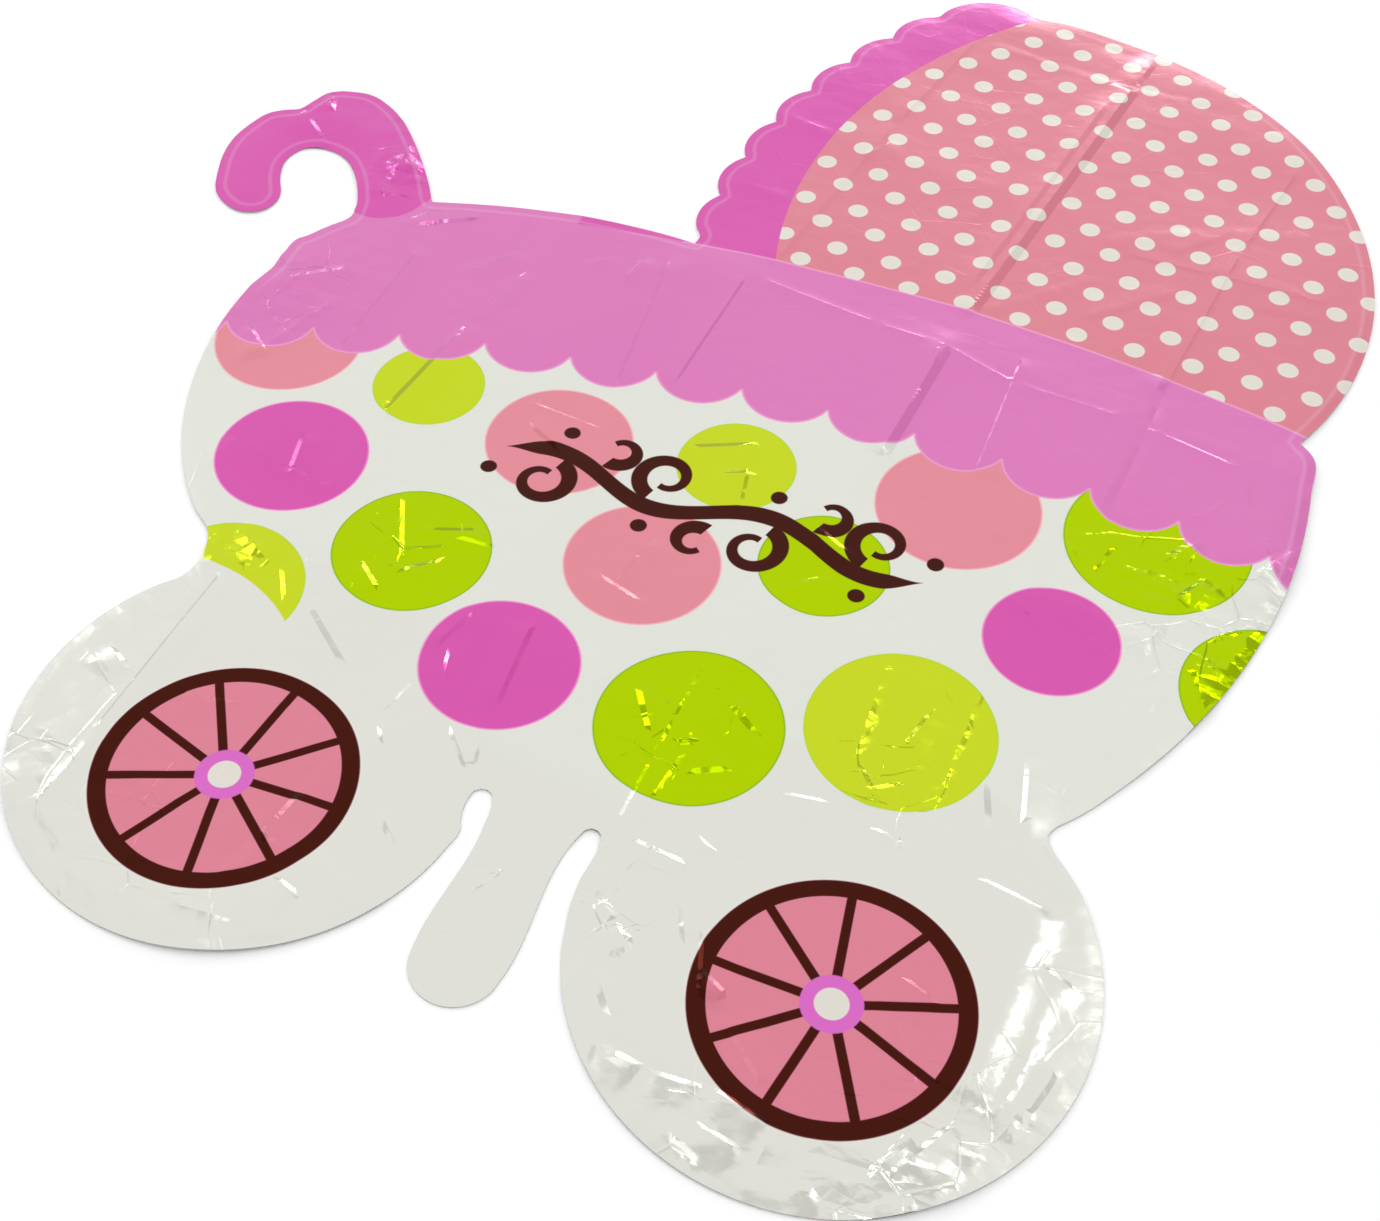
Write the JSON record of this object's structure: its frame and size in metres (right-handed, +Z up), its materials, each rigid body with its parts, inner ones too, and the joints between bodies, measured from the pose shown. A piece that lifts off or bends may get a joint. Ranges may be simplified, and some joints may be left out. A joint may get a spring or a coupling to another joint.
{
  "type": "foil balloon",
  "caption": "Empty printed foil balloon in the outline of a baby carriage, two films sealed at the edge, lying flat",
  "frame": {"origin": "middle of the balloon's outline, on the surface that it lies on", "axes": "+X from the handle towards the hood, +Y from the tail towards the top of the hood, +Z up, out of the printed face"},
  "size_m": [0.641, 0.7952, 0.0107],
  "materials": {
    "printed_film": "gloss",
    "plain_foil": "gloss"
  },
  "bodies": {
    "root": {"front_film": "printed_film", "back_film": "plain_foil"}
  },
  "joints": []
}
